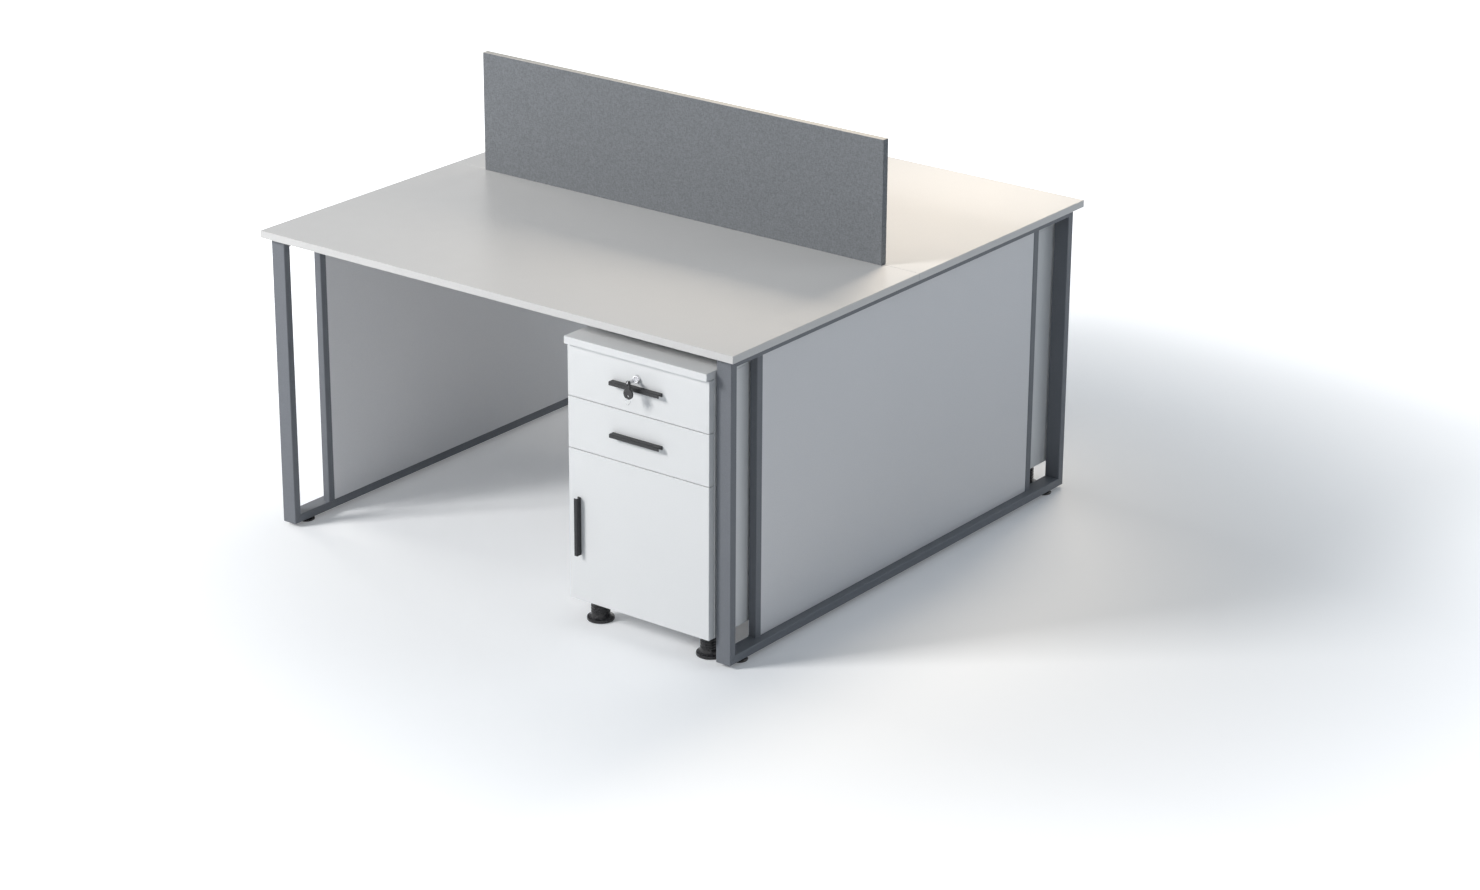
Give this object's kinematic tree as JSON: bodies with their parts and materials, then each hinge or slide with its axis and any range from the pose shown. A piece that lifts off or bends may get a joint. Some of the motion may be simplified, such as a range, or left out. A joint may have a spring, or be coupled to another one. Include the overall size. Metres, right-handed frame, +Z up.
{
  "type": "metal frame desk",
  "caption": "Two-person desk: worktops on mitred tube end frames with side panels, a low screen along the seam, and free-standing drawer pedestals with a lock and a door.",
  "frame": {"origin": "on the floor under the middle of the worktops, half way along the screen", "axes": "+X to the right along the front edge, towards the pedestals; +Y from the front worktop to the rear one; +Z up"},
  "size_m": [1.4, 1.4838, 1.05],
  "materials": {
    "worktop_board": "light warm grey melamine-faced board with matching edge band",
    "screen_board": "mid grey board with a fine woven grain",
    "panel_board": "pale grey melamine-faced board",
    "frame_paint": "satin grey powder coat",
    "pedestal_board": "white melamine-faced board",
    "drawer_board": "plain pale board",
    "handle_grey": "dark grey satin coat",
    "black_plastic": "black moulded plastic",
    "zinc_steel": "zinc-plated steel",
    "lock_chrome": "chrome plate"
  },
  "bodies": {
    "desk": {"worktop_front": "worktop_board", "worktop_rear": "worktop_board", "screen_panel": "screen_board", "left_end_frame": "frame_paint", "right_end_frame": "frame_paint", "left_side_panel": "panel_board", "right_side_panel": "panel_board", "frame_glides": "black_plastic", "cross_beams": "frame_paint", "beam_brackets": "frame_paint", "screen_tongues": "frame_paint"},
    "front_pedestal": {"front_pedestal_sides": "pedestal_board", "front_pedestal_base": "pedestal_board", "front_pedestal_back": "pedestal_board", "front_pedestal_divider": "pedestal_board", "front_pedestal_top": "pedestal_board", "front_pedestal_feet": "black_plastic", "front_pedestal_runner_outers": "zinc_steel", "front_pedestal_hinge_arms": "zinc_steel", "front_pedestal_lock_strike": "zinc_steel"},
    "front_upper_drawer": {"front_pedestal_upper_drawer_front": "pedestal_board", "front_pedestal_upper_drawer_box": "drawer_board", "front_pedestal_upper_drawer_handle": "handle_grey", "front_pedestal_lock_barrel": "lock_chrome"},
    "front_upper_runner_middles": {"front_pedestal_upper_runner_middles": "zinc_steel"},
    "front_lower_drawer": {"front_pedestal_lower_drawer_front": "pedestal_board", "front_pedestal_lower_drawer_box": "drawer_board", "front_pedestal_lower_drawer_handle": "handle_grey"},
    "front_lower_runner_middles": {"front_pedestal_lower_runner_middles": "zinc_steel"},
    "front_door": {"front_pedestal_door": "pedestal_board", "front_pedestal_door_handle": "handle_grey", "front_pedestal_hinge_cups": "zinc_steel"},
    "front_key": {"front_pedestal_lock_core": "lock_chrome"},
    "front_key_bow": {"front_pedestal_key_bow": "black_plastic"},
    "front_key_ring": {"front_pedestal_key_ring": "lock_chrome"},
    "rear_pedestal": {"rear_pedestal_sides": "pedestal_board", "rear_pedestal_base": "pedestal_board", "rear_pedestal_back": "pedestal_board", "rear_pedestal_divider": "pedestal_board", "rear_pedestal_top": "pedestal_board", "rear_pedestal_feet": "black_plastic", "rear_pedestal_runner_outers": "zinc_steel", "rear_pedestal_hinge_arms": "zinc_steel", "rear_pedestal_lock_strike": "zinc_steel"},
    "rear_upper_drawer": {"rear_pedestal_upper_drawer_front": "pedestal_board", "rear_pedestal_upper_drawer_box": "drawer_board", "rear_pedestal_upper_drawer_handle": "handle_grey", "rear_pedestal_lock_barrel": "lock_chrome"},
    "rear_upper_runner_middles": {"rear_pedestal_upper_runner_middles": "zinc_steel"},
    "rear_lower_drawer": {"rear_pedestal_lower_drawer_front": "pedestal_board", "rear_pedestal_lower_drawer_box": "drawer_board", "rear_pedestal_lower_drawer_handle": "handle_grey"},
    "rear_lower_runner_middles": {"rear_pedestal_lower_runner_middles": "zinc_steel"},
    "rear_door": {"rear_pedestal_door": "pedestal_board", "rear_pedestal_door_handle": "handle_grey", "rear_pedestal_hinge_cups": "zinc_steel"},
    "rear_key": {"rear_pedestal_lock_core": "lock_chrome"},
    "rear_key_bow": {"rear_pedestal_key_bow": "black_plastic"},
    "rear_key_ring": {"rear_pedestal_key_ring": "lock_chrome"}
  },
  "joints": [
    {"name": "front_pedestal_pull_out", "type": "slide", "parent": "desk", "child": "front_pedestal", "axis": [0, -1, 0], "range_m": [0, 0.55]},
    {"name": "front_upper_drawer_slide", "type": "slide", "parent": "front_pedestal", "child": "front_upper_drawer", "axis": [0, -1, 0], "range_m": [0, 0.38]},
    {"name": "front_upper_runner_slide", "type": "slide", "parent": "front_pedestal", "child": "front_upper_runner_middles", "axis": [0, -1, 0], "range_m": [0, 0.19]},
    {"name": "front_lower_drawer_slide", "type": "slide", "parent": "front_pedestal", "child": "front_lower_drawer", "axis": [0, -1, 0], "range_m": [0, 0.38]},
    {"name": "front_lower_runner_slide", "type": "slide", "parent": "front_pedestal", "child": "front_lower_runner_middles", "axis": [0, -1, 0], "range_m": [0, 0.19]},
    {"name": "front_door_hinge", "type": "hinge", "parent": "front_pedestal", "child": "front_door", "pos_m": [0.634, -0.698, 0.247], "axis": [0, 0, 1], "range_deg": [0, 95]},
    {"name": "front_key_turn", "type": "hinge", "parent": "front_upper_drawer", "child": "front_key", "pos_m": [0.437, -0.7, 0.639], "axis": [0, 1, 0], "range_deg": [0, 90]},
    {"name": "front_key_fold", "type": "hinge", "parent": "front_key", "child": "front_key_bow", "pos_m": [0.437, -0.732, 0.639], "axis": [-1, 0, 0], "range_deg": [0, 90]},
    {"name": "front_key_ring_swing", "type": "hinge", "parent": "front_key_bow", "child": "front_key_ring", "pos_m": [0.437, -0.732, 0.607], "axis": [0, 1, 0], "range_deg": [-90, 90]},
    {"name": "rear_pedestal_pull_out", "type": "slide", "parent": "desk", "child": "rear_pedestal", "axis": [0, 1, 0], "range_m": [0, 0.55]},
    {"name": "rear_upper_drawer_slide", "type": "slide", "parent": "rear_pedestal", "child": "rear_upper_drawer", "axis": [0, 1, 0], "range_m": [0, 0.38]},
    {"name": "rear_upper_runner_slide", "type": "slide", "parent": "rear_pedestal", "child": "rear_upper_runner_middles", "axis": [0, 1, 0], "range_m": [0, 0.19]},
    {"name": "rear_lower_drawer_slide", "type": "slide", "parent": "rear_pedestal", "child": "rear_lower_drawer", "axis": [0, 1, 0], "range_m": [0, 0.38]},
    {"name": "rear_lower_runner_slide", "type": "slide", "parent": "rear_pedestal", "child": "rear_lower_runner_middles", "axis": [0, 1, 0], "range_m": [0, 0.19]},
    {"name": "rear_door_hinge", "type": "hinge", "parent": "rear_pedestal", "child": "rear_door", "pos_m": [0.24, 0.698, 0.247], "axis": [0, 0, 1], "range_deg": [0, 95]},
    {"name": "rear_key_turn", "type": "hinge", "parent": "rear_upper_drawer", "child": "rear_key", "pos_m": [0.437, 0.7, 0.639], "axis": [0, -1, 0], "range_deg": [0, 90]},
    {"name": "rear_key_fold", "type": "hinge", "parent": "rear_key", "child": "rear_key_bow", "pos_m": [0.437, 0.732, 0.639], "axis": [1, 0, 0], "range_deg": [0, 90]},
    {"name": "rear_key_ring_swing", "type": "hinge", "parent": "rear_key_bow", "child": "rear_key_ring", "pos_m": [0.437, 0.732, 0.607], "axis": [0, -1, 0], "range_deg": [-90, 90]}
  ],
  "couplings": [
    {"joint": "front_upper_runner_slide", "follows": "front_upper_drawer_slide", "ratio": 0.5},
    {"joint": "front_lower_runner_slide", "follows": "front_lower_drawer_slide", "ratio": 0.5},
    {"joint": "rear_upper_runner_slide", "follows": "rear_upper_drawer_slide", "ratio": 0.5},
    {"joint": "rear_lower_runner_slide", "follows": "rear_lower_drawer_slide", "ratio": 0.5}
  ]
}
